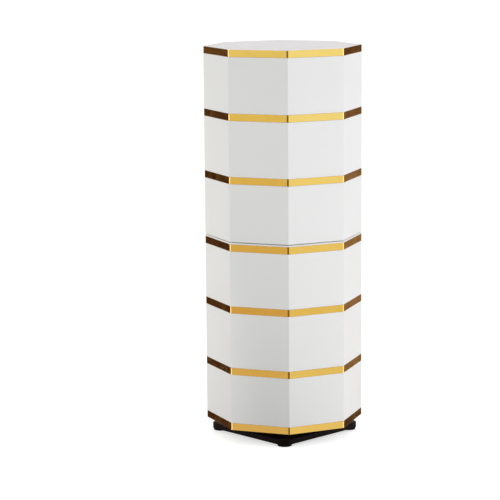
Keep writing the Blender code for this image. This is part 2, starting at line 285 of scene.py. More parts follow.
def turned(profile, centre=(0.0, 0.0), steps=96, rows_close=False, lobes=None):
    """Rings round an upright axis: a profile of (radius, height) points carried round by the angle.

    The profile rises on the outside. lobes, where given, has one curve or None for each ring: a
    radius that changes with the angle, which takes the place of the profile's radius.
    """
    profile = np.asarray(profile, float)
    angle = 2 * pi * np.arange(steps) / steps
    radius = np.repeat(profile[:, :1], steps, axis=1)
    for ring, curve in enumerate(lobes or ()):
        if curve is not None:
            radius[ring] = curve(angle)
    x = centre[0] + radius * np.cos(angle)
    y = centre[1] + radius * np.sin(angle)
    z = np.repeat(profile[:, 1:], steps, axis=1)
    return skin(np.stack([x, y, z], axis=2), rows_close=rows_close)


def hexagon(reach):
    """Radius of a hexagon over the angle: its flat's distance over the cosine from the flat's middle."""
    return lambda angle: reach * cos(pi / 6) / np.cos(angle % (pi / 3) - pi / 6)


def cross(reach, half_width):
    """Radius of a four-armed cross over the angle: the nearer of an arm's end and an arm's side."""

    def radius(angle):
        off_arm = (angle + pi / 4) % (pi / 2) - pi / 4
        side = half_width / np.maximum(np.abs(np.sin(off_arm)), half_width / reach / 2)
        return np.minimum(reach / np.cos(off_arm), side)

    return radius


def moved(made, matrix):
    """A skin carried by a matrix."""
    matrix = np.array(matrix)
    return made._replace(grid=made.grid @ matrix[:3, :3].T + matrix[:3, 3])


def turned_over(made, height):
    """A skin turned upside down about a level, its columns reversed so that its faces stay outward."""
    grid = made.grid[:, ::-1] * (1, 1, -1) + (0, 0, 2 * height)
    return made._replace(grid=grid, edge=made.edge[:, ::-1], run=made.run[:, ::-1])


def softened(node, slot, body, width=None):
    """A copy of a node with its triangles joined, its flats dissolved and its sharp edges rounded."""
    bm = bmesh.new()
    bm.from_mesh(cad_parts[node].data)
    bmesh.ops.remove_doubles(bm, verts=bm.verts, dist=WELD)
    bmesh.ops.dissolve_limit(bm, angle_limit=FLAT, verts=bm.verts, edges=bm.edges)
    if width:
        sharp = [edge for edge in bm.edges if edge.calc_face_angle(0) > SHARP]
        bmesh.ops.bevel(bm, geom=sharp, offset=width, segments=2, profile=0.5, affect="EDGES")
    mesh = bpy.data.meshes.new(f"{node}_finished")
    bm.to_mesh(mesh)
    bm.free()
    mesh.polygons.foreach_set("use_smooth", np.ones(len(mesh.polygons), bool))
    mesh.set_sharp_from_angle(angle=SHARP)
    return fit(bpy.data.objects.new(mesh.name, mesh), slot, body, node)


# Node trees


class Net:
    """A node tree being laid out."""

    def __init__(self, tree):
        self.tree = tree
        tree.nodes.clear()

    def add(self, kind, values=None, **settings):
        """A node with its settings; values are its inputs, each a number, a colour or a link."""
        node = self.tree.nodes.new(kind)
        for name, value in settings.items():
            setattr(node, name, value)
        for socket, value in (values or {}).items():
            if isinstance(value, bpy.types.NodeSocket):
                self.tree.links.new(value, node.inputs[socket])
            else:
                node.inputs[socket].default_value = value
        return node

    def maths(self, operation, a, b=0.0, c=0.0):
        """The result of an operation on up to three numbers."""
        return self.add("ShaderNodeMath", {0: a, 1: b, 2: c}, operation=operation).outputs[0]

    def mix(self, factor, a, b):
        """A colour between a, where the factor is 0, and b, where it is 1."""
        return self.add("ShaderNodeMix", {0: factor, 6: a, 7: b}, data_type="RGBA").outputs[2]

    def spread(self, value, low, high, to_low=0.0, to_high=1.0, steps="LINEAR"):
        """A value carried from one range to another and held at its ends."""
        values = {"Value": value, "From Min": low, "From Max": high, "To Min": to_low, "To Max": to_high}
        return self.add("ShaderNodeMapRange", values, interpolation_type=steps).outputs[0]

    def ramp(self, value, stops):
        """A colour that changes with a value: stops are two or more pairs of a value and a colour."""
        low, high = stops[0][0], stops[-1][0]
        node = self.add("ShaderNodeValToRGB", {0: self.spread(value, low, high)})
        elements = node.color_ramp.elements
        elements[0].color, elements[1].color = rgb(*stops[0][1]), rgb(*stops[-1][1])
        for at, colour in stops[1:-1]:
            elements.new((at - low) / (high - low)).color = rgb(*colour)
        return node.outputs[0]

    def stretch(self, vector, scale):
        """A place with its axes scaled, which draws a pattern out along an axis of small scale."""
        return self.add("ShaderNodeMapping", {"Vector": vector, "Scale": scale}).outputs[0]

    def noise(self, vector, scale, detail=2.0, roughness=0.5):
        """Cloudy noise about a half, with a number of finer layers."""
        values = {"Vector": vector, "Scale": scale, "Detail": detail, "Roughness": roughness}
        return self.add("ShaderNodeTexNoise", values).outputs[0]

    def group(self, tree, **values):
        """What a node group puts out for the values of its inputs."""
        return self.add("ShaderNodeGroup", values, node_tree=tree).outputs[0]

    def bump(self, height, distance):
        """The normal of a surface with a relief, for which a height of 1 is a distance in metres."""
        return self.add("ShaderNodeBump", {"Height": height, "Distance": distance}).outputs[0]


def rgb(*colour):
    """An opaque colour."""
    return (*colour, 1.0)


def effect(name, inputs, output):
    """An empty shader node group with its sockets, as a net, what it is given and its output socket."""
    tree = bpy.data.node_groups.new(name, "ShaderNodeTree")
    net = Net(tree)
    for socket, default in inputs.items():
        kind = "NodeSocketVector" if default is None else "NodeSocketFloat"
        made = tree.interface.new_socket(socket, in_out="INPUT", socket_type=kind)
        if default is not None:
            made.default_value = default
    tree.interface.new_socket(output, in_out="OUTPUT", socket_type="NodeSocketFloat")
    return net, net.add("NodeGroupInput").outputs, net.add("NodeGroupOutput").inputs[output]


def clouds_effect():
    """Soft patches between Low and High: noise of a given scale, spread over its middle range."""
    inputs = {"Place": None, "Scale": 5.0, "Low": 0.0, "High": 1.0}
    net, given, out = effect("soft patches", inputs, "Value")
    patches = net.noise(given["Place"], given["Scale"], detail=3.0)
    net.tree.links.new(net.spread(patches, 0.3, 0.7, given["Low"], given["High"]), out)
    return net.tree


def relief_effect():
    """Height of a sprayed or pressed surface: broad ripples with finer pimples on them."""
    net, given, out = effect("fine relief", {"Place": None, "Scale": 400.0, "Pimples": 0.3}, "Height")
    pimple_scale = net.maths("MULTIPLY", given["Scale"], 3.7)
    ripples = net.noise(given["Place"], given["Scale"], detail=1.0)
    pimples = net.noise(given["Place"], pimple_scale, detail=1.0)
    net.tree.links.new(net.maths("MULTIPLY_ADD", pimples, given["Pimples"], ripples), out)
    return net.tree


def dust_effect():
    """Dust on faces that look up: the normal's upward part, broken up by noise."""
    net, given, out = effect("settled dust", {"Place": None, "Scale": 40.0, "Amount": 0.3}, "Mask")
    normal = net.add("ShaderNodeNewGeometry").outputs["Normal"]
    upward = net.add("ShaderNodeSeparateXYZ", {0: normal}).outputs["Z"]
    settled = net.spread(upward, 0.6, 1.0)
    specks = net.noise(given["Place"], given["Scale"], detail=5.0, roughness=0.65)
    broken = net.maths("MULTIPLY", settled, net.spread(specks, 0.35, 0.75))
    net.tree.links.new(net.maths("MULTIPLY", broken, given["Amount"]), out)
    return net.tree


def wear_and_highlight_effect():
    """Wear on rounded edges, and on the white lacquer partly a painted highlight: the piece's own edge
    mark, broken up along the edge by noise.
    """
    net, given, out = effect("edge wear and highlight", {"Place": None, "Scale": 90.0, "Amount": 0.5}, "Mask")
    mark = net.add("ShaderNodeAttribute", attribute_name="edge").outputs["Fac"]
    rubs = net.noise(given["Place"], given["Scale"], detail=4.0)
    broken = net.maths("MULTIPLY", mark, net.spread(rubs, 0.4, 0.65))
    net.tree.links.new(net.maths("MULTIPLY", broken, given["Amount"]), out)
    return net.tree


def scratches_effect():
    """Hairline scratches: the thin ridge where noise passes its middle value, in some patches only."""
    inputs = {"Place": None, "Scale": 60.0, "Width": 0.01, "Amount": 0.5}
    net, given, out = effect("hairlines", inputs, "Mask")
    bent = net.noise(given["Place"], given["Scale"], detail=1.0)
    off = net.maths("ABSOLUTE", net.maths("SUBTRACT", bent, 0.5))
    line = net.maths("SUBTRACT", 1.0, net.spread(off, 0.0, given["Width"]))
    patch_scale = net.maths("MULTIPLY", given["Scale"], 0.37)
    patches = net.noise(given["Place"], patch_scale, detail=2.0)
    broken = net.maths("MULTIPLY", line, net.spread(patches, 0.5, 0.7))
    net.tree.links.new(net.maths("MULTIPLY", broken, given["Amount"]), out)
    return net.tree


def lathe_effect():
    """Turning marks: fine noise read along the distance from the cabinet's axis alone."""
    net, given, out = effect("turning marks", {"Place": None, "Scale": 2500.0}, "Height")
    values = {0: given["Place"], 1: (1.0, 1.0, 0.0)}
    level = net.add("ShaderNodeVectorMath", values, operation="MULTIPLY").outputs[0]
    radius = net.add("ShaderNodeVectorMath", {0: level}, operation="LENGTH").outputs["Value"]
    line = net.add("ShaderNodeCombineXYZ", {"X": radius}).outputs[0]
    net.tree.links.new(net.noise(line, given["Scale"], detail=3.0), out)
    return net.tree


CLOUDS, RELIEF, DUST = clouds_effect(), relief_effect(), dust_effect()
WEAR_AND_HIGHLIGHT, SCRATCHES, LATHE = wear_and_highlight_effect(), scratches_effect(), lathe_effect()


# Finishes


def finish(name, **constants):
    """A material with its shader; constants are sockets that are the same all over the surface."""
    made = bpy.data.materials.new(name)
    made.use_nodes = True
    net = Net(made.node_tree)
    shader = net.add("ShaderNodeBsdfPrincipled")
    net.add("ShaderNodeOutputMaterial", {"Surface": shader.outputs[0]})
    for socket, value in constants.items():
        shader.inputs[socket.replace("_", " ")].default_value = value
    place = net.add("ShaderNodeTexCoord").outputs["Object"]
    return made, net, shader, place


def dress(net, shader, colour, roughness, normal):
    """Links what changes over the surface to the shader."""
    for socket, value in {"Base Color": colour, "Roughness": roughness, "Normal": normal}.items():
        net.tree.links.new(value, shader.inputs[socket])


def white_lacquer():
    """Satin white lacquer: sprayed orange peel, faint clouding, dust on top, and edges made brighter,
    partly as wear and partly as a painted highlight.
    """
    made, net, shader, place = finish(
        "satin white lacquer", Coat_Weight=0.12, Coat_Roughness=0.16, IOR=1.47
    )
    dull, clean = rgb(0.842, 0.842, 0.836), rgb(0.862, 0.862, 0.858)
    rubbed_and_highlit, dusty = rgb(0.90, 0.90, 0.89), rgb(0.87, 0.79, 0.78)
    tone = net.group(CLOUDS, Place=place, Scale=2.6)
    speck = net.group(CLOUDS, Place=place, Scale=210.0, Low=-0.12, High=0.12)
    colour = net.mix(net.maths("ADD", tone, speck), dull, clean)
    # Painted highlight: the rounded edges are made brighter, partly as wear and partly to stand in for
    # light caught on them
    edge_wear_and_highlight = net.group(WEAR_AND_HIGHLIGHT, Place=place, Scale=60.0, Amount=0.5)
    colour = net.mix(edge_wear_and_highlight, colour, rubbed_and_highlit)
    dust = net.group(DUST, Place=place, Scale=70.0, Amount=0.32)
    colour = net.mix(dust, colour, dusty)
    sheen = net.group(CLOUDS, Place=place, Scale=11.0, Low=0.30, High=0.38)
    roughness = net.maths("MULTIPLY_ADD", dust, 0.5, sheen)
    peel = net.group(RELIEF, Place=place, Scale=420.0, Pimples=0.3)
    dress(net, shader, colour, roughness, net.bump(peel, distance=0.000035))
    return made


def mirror_gold():
    """Polished gold film on thin metal: a mirror with a faint drawn grain, hairlines and smears."""
    made, net, shader, place = finish("mirror gold", Metallic=1.0)
    deep, bright = rgb(0.94, 0.68, 0.178), rgb(0.96, 0.70, 0.195)
    rubbed_and_highlit = rgb(0.97, 0.83, 0.52)
    run = net.add("ShaderNodeAttribute", attribute_name="run").outputs["Vector"]
    long_drawn = net.stretch(run, (0.02, 1.0, 1.0))
    short_drawn = net.stretch(run, (0.35, 1.0, 1.0))
    tone = net.group(CLOUDS, Place=place, Scale=9.0)
    colour = net.mix(tone, deep, bright)
    edge_wear_and_highlight = net.group(WEAR_AND_HIGHLIGHT, Place=place, Scale=120.0, Amount=0.5)
    colour = net.mix(edge_wear_and_highlight, colour, rubbed_and_highlit)
    smear = net.group(CLOUDS, Place=place, Scale=32.0, Low=0.045, High=0.10)
    hair = net.group(SCRATCHES, Place=short_drawn, Scale=300.0, Amount=0.25)
    roughness = net.maths("ADD", smear, hair)
    grain = net.noise(long_drawn, 1500.0, detail=2.0)
    mottle = net.noise(short_drawn, 260.0, detail=2.0)
    height = net.maths("MULTIPLY_ADD", grain, 0.08, mottle)
    dress(net, shader, colour, roughness, net.bump(height, distance=0.000028))
    return made


def black_laminate():
    """Black laminate on board: pressed pebble grain, greyed by dust and along its edges."""
    made, net, shader, place = finish("black laminate", IOR=1.45, Specular_IOR_Level=0.05)
    deep, faded = rgb(0.0058, 0.0024, 0.0010), rgb(0.0092, 0.0048, 0.0028)
    rubbed_and_highlit, dusty = rgb(0.036, 0.029, 0.023), rgb(0.14, 0.13, 0.12)
    tone = net.group(CLOUDS, Place=place, Scale=14.0)
    colour = net.mix(tone, deep, faded)
    edge_wear_and_highlight = net.group(WEAR_AND_HIGHLIGHT, Place=place, Scale=80.0, Amount=0.35)
    colour = net.mix(edge_wear_and_highlight, colour, rubbed_and_highlit)
    dust = net.group(DUST, Place=place, Scale=120.0, Amount=0.06)
    colour = net.mix(dust, colour, dusty)
    roughness = net.group(CLOUDS, Place=place, Scale=25.0, Low=0.42, High=0.56)
    pebbles = net.group(RELIEF, Place=place, Scale=900.0, Pimples=0.5)
    dress(net, shader, colour, roughness, net.bump(pebbles, distance=0.00006))
    return made


def black_rubber():
    """Moulded rubber: matt, finely pitted, with a pale bloom in patches."""
    made, net, shader, place = finish("black rubber", IOR=1.4, Specular_IOR_Level=0.08)
    deep, bloomed = rgb(0.0065, 0.0056, 0.0050), rgb(0.014, 0.012, 0.011)
    bloom = net.group(CLOUDS, Place=place, Scale=120.0)
    colour = net.mix(bloom, deep, bloomed)
    roughness = net.group(CLOUDS, Place=place, Scale=60.0, Low=0.75, High=0.92)
    pits = net.group(RELIEF, Place=place, Scale=1500.0, Pimples=0.8)
    dress(net, shader, colour, roughness, net.bump(pits, distance=0.00008))
    return made


def bearing_aluminium():
    """Turned aluminium: concentric tool marks, slightly clouded."""
    made, net, shader, place = finish("turned aluminium", Metallic=1.0)
    dull, bright = rgb(0.66, 0.67, 0.69), rgb(0.76, 0.765, 0.78)
    tone = net.group(CLOUDS, Place=place, Scale=50.0)
    colour = net.mix(tone, dull, bright)
    roughness = net.group(CLOUDS, Place=place, Scale=80.0, Low=0.28, High=0.42)
    marks = net.group(LATHE, Place=place, Scale=2500.0)
    dress(net, shader, colour, roughness, net.bump(marks, distance=0.00004))
    return made


def bright_steel():
    """Zinc-plated steel: bright, with fine hairlines and a faint bluish cast in patches."""
    made, net, shader, place = finish("zinc-plated steel", Metallic=1.0)
    bluish, warm = rgb(0.58, 0.585, 0.61), rgb(0.68, 0.675, 0.66)
    tone = net.group(CLOUDS, Place=place, Scale=180.0)
    colour = net.mix(tone, bluish, warm)
    smear = net.group(CLOUDS, Place=place, Scale=300.0, Low=0.16, High=0.28)
    hair = net.group(SCRATCHES, Place=place, Scale=500.0, Amount=0.3)
    roughness = net.maths("ADD", smear, hair)
    plating = net.group(RELIEF, Place=place, Scale=2200.0, Pimples=0.5)
    dress(net, shader, colour, roughness, net.bump(plating, distance=0.00001))
    return made


FINISHES = {
    "white_lacquer": white_lacquer(),
    "mirror_gold": mirror_gold(),
    "black_laminate": black_laminate(),
    "black_rubber": black_rubber(),
    "bearing_aluminium": bearing_aluminium(),
    "bright_steel": bright_steel(),
}


# Pieces of the cabinet


def spin(azimuth):
    """Turns a skin that faces -Y so that it faces an azimuth."""
    return Matrix.Rotation(azimuth, 4, "Z")


def levels(node):
    """Heights of a node's lower and upper face."""
    low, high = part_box(node)
    return low.z, high.z


def middle_and_radius(node):
    """Middle of a round node seen from above, and its radius."""
    low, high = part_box(node)
    return ((low.x + high.x) / 2, (low.y + high.y) / 2), (high.x - low.x) / 2


def wall_outline():
    """A wall panel seen from above, facing -Y: its ends are cut along lines to the axis, a hair apart."""
    shrink = MITRE_LINE / 2 / cos(HALF_TURN)
    outer = WALL_FLAT * tan(HALF_TURN) - shrink
    inner = (WALL_FLAT - PANEL_THICKNESS) * tan(HALF_TURN) - shrink
    front, back = -WALL_FLAT, -(WALL_FLAT - PANEL_THICKNESS)
    corners = [(-outer, front), (outer, front), (inner, back), (-inner, back)]
    return rounded_polygon(corners, PANEL_CORNER)


def make_walls():
    """The four wall panels of each tier: one outline, carried up and turned to each wall's azimuth."""
    outline = wall_outline()
    for tier in TIERS:
        for wall, turns in WALLS.items():
            node = f"tier_{tier}_{wall}_panel"
            made = moved(slab(outline, *levels(node), PANEL_EDGE), spin(turns * HALF_TURN))
            piece(f"tier_{tier}_{wall}_wall", [made], "white_lacquer", CABINET, node)


def make_shelves():
    """The octagonal boards, inside their gold strips; the drilled one is a copy that keeps its holes."""
    outline = octagon(WALL_FLAT - STRIP_THICKNESS - SEAT_GAP, STRIP_BEND - STRIP_THICKNESS - SEAT_GAP)
    for node in BOARDS:
        if node == DRILLED_BOARD:
            softened(node, "white_lacquer", CABINET, BOARD_EDGE)
        else:
            made = slab(outline, *levels(node), BOARD_EDGE)
            piece(f"{node}_lacquered", [made], "white_lacquer", CABINET, node)


def strip_path(number):
    """The outer line of a gold strip from seam to seam: distances along it, points and normals.

    It is the octagon with bent corners, begun at the seam. The metal is a little wavy: it moves in
    by a sum of sines of the distance along it, each strip with its own phases.
    """
    points, normals, _ = octagon(WALL_FLAT, STRIP_BEND)
    first = len(points) // SIDES * (SIDES // 2)
    points, normals = np.roll(points, -first, axis=0), np.roll(normals, -first, axis=0)
    out = plan(STRIP_SEAM_AZIMUTH)
    beside = np.array([-out[1], out[0]]) * STRIP_SEAM / 2
    points = np.concatenate([[WALL_FLAT * out + beside], points, [WALL_FLAT * out - beside]])
    normals = np.concatenate([[out], normals, [out]])
    known = np.concatenate([[0], np.cumsum(np.linalg.norm(np.diff(points, axis=0), axis=1))])
    along = np.union1d(known, np.arange(0, known[-1], WAVE_SPACING))
    path = np.stack([np.interp(along, known, points[:, axis]) for axis in (0, 1)], axis=1)
    facing = np.stack([np.interp(along, known, normals[:, axis]) for axis in (0, 1)], axis=1)
    facing /= np.linalg.norm(facing, axis=1, keepdims=True)
    phases = [STRIP_PHASE * number + WAVE_PHASE * wave for wave in range(len(WAVE_LENGTHS))]
    waves = zip(WAVE_LENGTHS, WAVE_DEPTHS, phases)
    push = sum(depth * (np.sin(2 * pi * along / length + phase) - 1) for length, depth, phase in waves)
    return along, path + push[:, None] * facing, facing


def make_strips():
    """The gold strips bent round the boards' edges: a rounded section carried along each strip's path."""
    for number, board in enumerate(BOARDS):
        along, path, facing = strip_path(number)
        low, high = levels(f"{board}_gold_strip")
        corners = [(-STRIP_THICKNESS, low), (0, low), (0, high), (-STRIP_THICKNESS, high)]
        section, _, rims = rounded_polygon(corners, STRIP_EDGE)
        level = path[None] + section[:, 0][:, None, None] * facing[None]
        tall = np.broadcast_to(section[:, 1][:, None, None], (*level.shape[:2], 1))
        across, lengthwise = np.meshgrid(section[:, 1], along, indexing="ij")
        run = np.stack([lengthwise, across, np.full_like(across, number)], axis=2)
        made = skin(np.concatenate([level, tall], axis=2), True, False, rims[:, None], run)
        piece(f"{board}_gilt_edge", [made], "mirror_gold", CABINET, f"{board}_gold_strip")


def make_partitions():
    """The upright boards in the tiers, front to back, their edges a little rounded."""
    for tier in TIERS:
        node = f"tier_{tier}_partition"
        low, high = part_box(node)
        corners = [(low.x, low.y), (high.x, low.y), (high.x, high.y), (low.x, high.y)]
        made = slab(rounded_polygon(corners, 2 * BOARD_EDGE), low.z, high.z, BOARD_EDGE)
        piece(f"tier_{tier}_divider", [made], "white_lacquer", CABINET, node)


def make_caps():
    """Small domed caps over the fittings near the floor of each tier, on the walls and dividers."""
    profile = [
        (CAP_RADIUS, 0.0),
        (CAP_RADIUS, 0.4 * CAP_RISE),
        (CAP_RADIUS - 0.3 * CAP_RISE, 0.75 * CAP_RISE),
        (0.75 * CAP_RADIUS, 0.95 * CAP_RISE),
        (0.35 * CAP_RADIUS, CAP_RISE),
    ]
    dome = turned(profile, steps=32)
    onto_wall = Matrix.Rotation(-pi / 2, 4, "X")
    onto_divider = Matrix.Rotation(pi / 2, 4, "Y")
    inner = WALL_FLAT - PANEL_THICKNESS
    for tier in TIERS:
        low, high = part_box(f"tier_{tier}_partition")
        level = low.z + CAP_HEIGHT
        caps = []
        for turns in WALLS.values():
            for side in (-CAP_SPREAD, CAP_SPREAD):
                place = Matrix.Translation((side, -inner + CAP_GAP, level))
                caps.append(moved(dome, spin(turns * HALF_TURN) @ place @ onto_wall))
        for y in (low.y + 3 * CAP_SPREAD, high.y - CAP_SPREAD):
            place = Matrix.Translation((high.x + CAP_GAP, y, level))
            caps.append(moved(dome, place @ onto_divider))
        piece(f"tier_{tier}_fitting_caps", caps, "white_lacquer", CABINET, sharp=SHARP)


def make_module_bolts():
    """Flat-headed bolts with hexagon sockets, which hold the upper module down."""
    socket = [hexagon(SOCKET_REACH), hexagon(SOCKET_FLOOR_REACH)]
    for number in range(1, MODULE_BOLTS + 1):
        node = f"module_bolt_{number}"
        foot, top = levels(node)
        centre, head = middle_and_radius(node)
        seat = top - BOLT_HEAD_HEIGHT
        profile = [
            (BOLT_SHANK - BOLT_RIM, foot),
            (BOLT_SHANK, foot + BOLT_RIM),
            (BOLT_SHANK, seat),
            (head - BOLT_RIM / 2, seat),
            (head, seat + BOLT_RIM / 2),
            (head, top - BOLT_RIM),
            (head - 0.3 * BOLT_RIM, top - 0.3 * BOLT_RIM),
            (head - BOLT_RIM, top),
            (SOCKET_REACH, top),
            (SOCKET_REACH, top - SOCKET_DEPTH),
        ]
        lobes = [None] * (len(profile) - len(socket)) + socket
        made = turned(profile, centre, steps=48, lobes=lobes)
        piece(f"{node}_socketed", [made], "bright_steel", CABINET, node, sharp=SHARP)


def make_joint_boards():
    """The sheet and the floor at the joint between the modules: copies with rounded edges."""
    for node in ("lower_cover_sheet", "upper_floor_board"):
        softened(node, "white_lacquer", CABINET, PANEL_EDGE)


# Base and bearing


def make_base_board():
    """The black square board: a copy with rounded edges."""
    softened("base_board", "black_laminate", BASE, BASE_EDGE)


def make_feet():
    """Rubber pads with a hollow and a grip groove underneath and soft rims."""
    for number in range(1, FEET + 1):
        node = f"foot_{number}"
        _, top = levels(node)
        centre, radius = middle_and_radius(node)
        profile = [(share * radius, height) for share, height in FOOT_SOLE]
        profile += [(radius - inset, lift) for inset, lift in FOOT_LOWER_RIM]
        profile += [(radius - inset, top - drop) for inset, drop in FOOT_UPPER_RIM]
        made = turned(profile, centre, steps=72)
        piece(f"{node}_pad", [made], "black_rubber", BASE, node, sharp=SHARP)


def make_hub():
    """The round black board between the bearing and the cabinet, its rims rounded."""
    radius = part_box("hub_board")[1].x
    made = slab(circle(radius, steps=160), *levels("hub_board"), HUB_EDGE)
    piece("hub_board_laminated", [made], "black_laminate", CABINET, "hub_board")


def make_bearing():
    """The two rings as they are, and the cage with its balls.

    A ball is turned from points whose radius is the cosine of a tilt and whose height is its sine.
    """
    softened("bearing_outer_ring", "bearing_aluminium", BASE)
    softened("bearing_inner_ring", "bearing_aluminium", CABINET)
    low, high = levels("ball_cage")
    middle = (low + high) / 2
    inside, outside = TRACK_RADIUS - CAGE_HALF_BAND, TRACK_RADIUS + CAGE_HALF_BAND
    under, over = middle - CAGE_HALF_HEIGHT, middle + CAGE_HALF_HEIGHT
    band = [(inside, under), (outside, under), (outside, over), (inside, over)]
    skins = [turned(band, steps=180, rows_close=True)]
    tilt = np.linspace(-pi / 2 + BALL_POLE, pi / 2 - BALL_POLE, BALL_RINGS)
    ball = np.stack([BALL_RADIUS * np.cos(tilt), middle + BALL_RADIUS * np.sin(tilt)], axis=1)
    for number in range(BALLS):
        centre = TRACK_RADIUS * plan(2 * pi * (number + 0.5) / BALLS)
        skins.append(turned(ball, centre, steps=24))
    piece("ball_cage_filled", skins, "bright_steel", CAGE, "ball_cage", sharp=SHARP)


def countersunk_screw(centre, foot, face):
    """A screw with a sunk cone for a head and a cross recess, from its foot up to its head's face."""
    profile = [
        (SCREW_SHANK, foot),
        (SCREW_SHANK, face - SCREW_HEAD + SCREW_SHANK - SCREW_RIM),
        (SCREW_HEAD, face - 2 * SCREW_RIM),
        (SCREW_HEAD, face - SCREW_RIM),
        (SCREW_HEAD - SCREW_RIM, face),
        (CROSS_REACH, face),
        (CROSS_REACH, face - CROSS_DEPTH),
    ]
    recess = [cross(CROSS_REACH, CROSS_WIDTH), cross(CROSS_FLOOR_REACH, CROSS_FLOOR_WIDTH)]
    lobes = [None] * (len(profile) - len(recess)) + recess
    return turned(profile, centre, steps=64, lobes=lobes)


def make_bearing_screws():
    """The screws that hold the rings: heads up in the outer ring, heads down in the inner one."""
    outer_low, outer_high = levels("bearing_outer_ring")
    inner_low, inner_high = levels("bearing_inner_ring")
    for number in range(SCREWS):
        azimuth = 2 * pi * number / SCREWS
        centre = OUTER_SCREW_CIRCLE * plan(azimuth + BASE_TURN)
        made = countersunk_screw(centre, outer_low + SCREW_INSET, outer_high - SCREW_INSET)
        piece(f"outer_ring_screw_{number + 1}", [made], "bright_steel", BASE, sharp=SHARP)
        centre = INNER_SCREW_CIRCLE * plan(azimuth)
        upright = countersunk_screw(centre, inner_low + SCREW_INSET, inner_high - SCREW_INSET)
        made = turned_over(upright, (inner_low + inner_high) / 2)
        piece(f"inner_ring_screw_{number + 1}", [made], "bright_steel", CABINET, sharp=SHARP)


# Studio


# The camera: its place, the way it turns, its lens and sensor in millimetres, and how far it sees
CAMERA_DISTANCE = 5.736
CAMERA_HEIGHT = 1.485
CAMERA_AZIMUTH = radians(-3.3)
CAMERA_HEADING = radians(-2.355)
CAMERA_PITCH = radians(9.571)
CAMERA_ROLL = radians(-0.45)
CAMERA_LENS = 149.0
CAMERA_SENSOR = 36.0
CAMERA_REACH = 200.0

# Softboxes: azimuth in degrees, distance, height of the middle, width, height, power and colour, and
# the point that they face
SOFTBOXES = {
    "key": (79, 2.8, 1.5, 1.6, 2.0, 15.5, (0.965, 1.0, 0.975)),
    "left": (-100, 3.0, 1.3, 1.6, 2.2, 6.0, (1.0, 1.0, 0.98)),
    "back": (180, 3.2, 1.6, 2.4, 2.0, 10.0, (1.0, 1.0, 1.0)),
    "low right": (40, 1.7, 0.25, 0.8, 0.4, 2.2, (1.0, 1.0, 1.0)),
    "low left": (-100, 1.6, 0.25, 0.8, 0.4, 3.5, (1.0, 1.0, 0.98)),
}
SOFTBOX_AIM = (0.0, 0.0, 0.6)

# A wide spotlight from the front: the soft edge of its cone runs down the left front face, low down
SPOT_AZIMUTH = radians(12)
SPOT_DISTANCE = 3.0
SPOT_HEIGHT = 0.15
SPOT_AIM = (-2.25, 0.0, 0.08)
SPOT_CONE = radians(60)
SPOT_BLEND = 0.09
SPOT_RADIUS = 0.05
SPOT_POWER = 48.0

# The floor: how far it reaches, how pale the camera sees it, and how grey what it bounces back is,
# in the open and in a patch of painted shade that the camera doesn't see, which fades out between two
# distances from its centre
FLOOR_REACH = 60.0
FLOOR_PALE = ((0.60, 0.60, 0.60), (0.62, 0.62, 0.62))
FLOOR_MOTTLE = 0.7
FLOOR_GLOW = 0.62
FLOOR_GREY = 0.82
# Painted shade: a grey patch in the floor's bounced light alone, before the front corner
SHADE_PATCH_GREY = 0.20
SHADE_PATCH_CENTRE = (-0.19, -0.50, 0.0)
SHADE_PATCH_FADE = (0.10, 0.62)

# The backdrop, and plain fill light near the horizon, at the left and at the right, and from above,
# with the azimuths and the elevations in degrees between which it changes
BACKDROP = (1.0, 1.0, 1.0)
FILL_LEFT = (0.44, 0.49, 0.41)
FILL_RIGHT = (0.73, 0.76, 0.82)
FILL_ABOVE = (1.01, 0.985, 0.98)
FILL_ACROSS = (-60.0, 60.0)
FILL_UPWARD = (10.0, 50.0)

# What the mirror strips see at the left and at the right of the camera, over the elevation in degrees,
# and the azimuths in degrees between which one side passes into the other
SEEN_LEFT = (
    (-16.0, (0.70, 0.56, 0.50)),
    (-13.0, (0.69, 0.55, 0.40)),
    (-11.3, (0.63, 0.43, 0.25)),
    (-9.5, (0.69, 0.54, 0.34)),
    (-6.0, (0.78, 0.67, 0.44)),
    (-4.0, (0.82, 0.78, 0.64)),
    (-1.0, (0.84, 0.82, 0.80)),
    (8.0, (0.60, 0.58, 0.58)),
)
SEEN_RIGHT = (
    (-16.0, (0.86, 0.74, 0.62)),
    (-13.0, (0.79, 0.73, 0.62)),
    (-11.3, (0.77, 0.66, 0.44)),
    (-9.5, (0.84, 0.77, 0.60)),
    (-7.7, (0.90, 0.87, 0.77)),
    (-6.0, (0.93, 0.96, 1.0)),
    (-1.0, (0.95, 0.95, 0.97)),
    (8.0, (0.60, 0.58, 0.58)),
)
SIDES_MEET = (-10.0, 10.0)

# Lamps in a row at each side: their number and, in degrees, the first one's azimuth, the step between
# them, half their width and the softness of their edge
LAMPS = 4
LAMPS_FROM = 67.5
LAMPS_APART = 15.0
LAMP_HALF = 2.0
LAMP_SOFT = 0.4
LAMP_COLOUR = (3.7, 3.7, 6.5)

# Dark cards, in degrees: azimuth of the middle, half the width and softness of the edge. Lamps and
# cards end downwards between two elevations
BACK_LEFT_CARD = (-132.5, 3.5, 0.6)
BACK_RIGHT_CARD = (141.0, 4.5, 0.8)
FRONT_RIGHT_CARD = (22.8, 19.2, 0.8)
FRONT_LEFT_CARD = (-21.5, 18.0, 1.0)
LOWER_END = (-17.5, -15.5)
FRONT_CARD_COLOUR = (0.050, 0.016, 0.003)

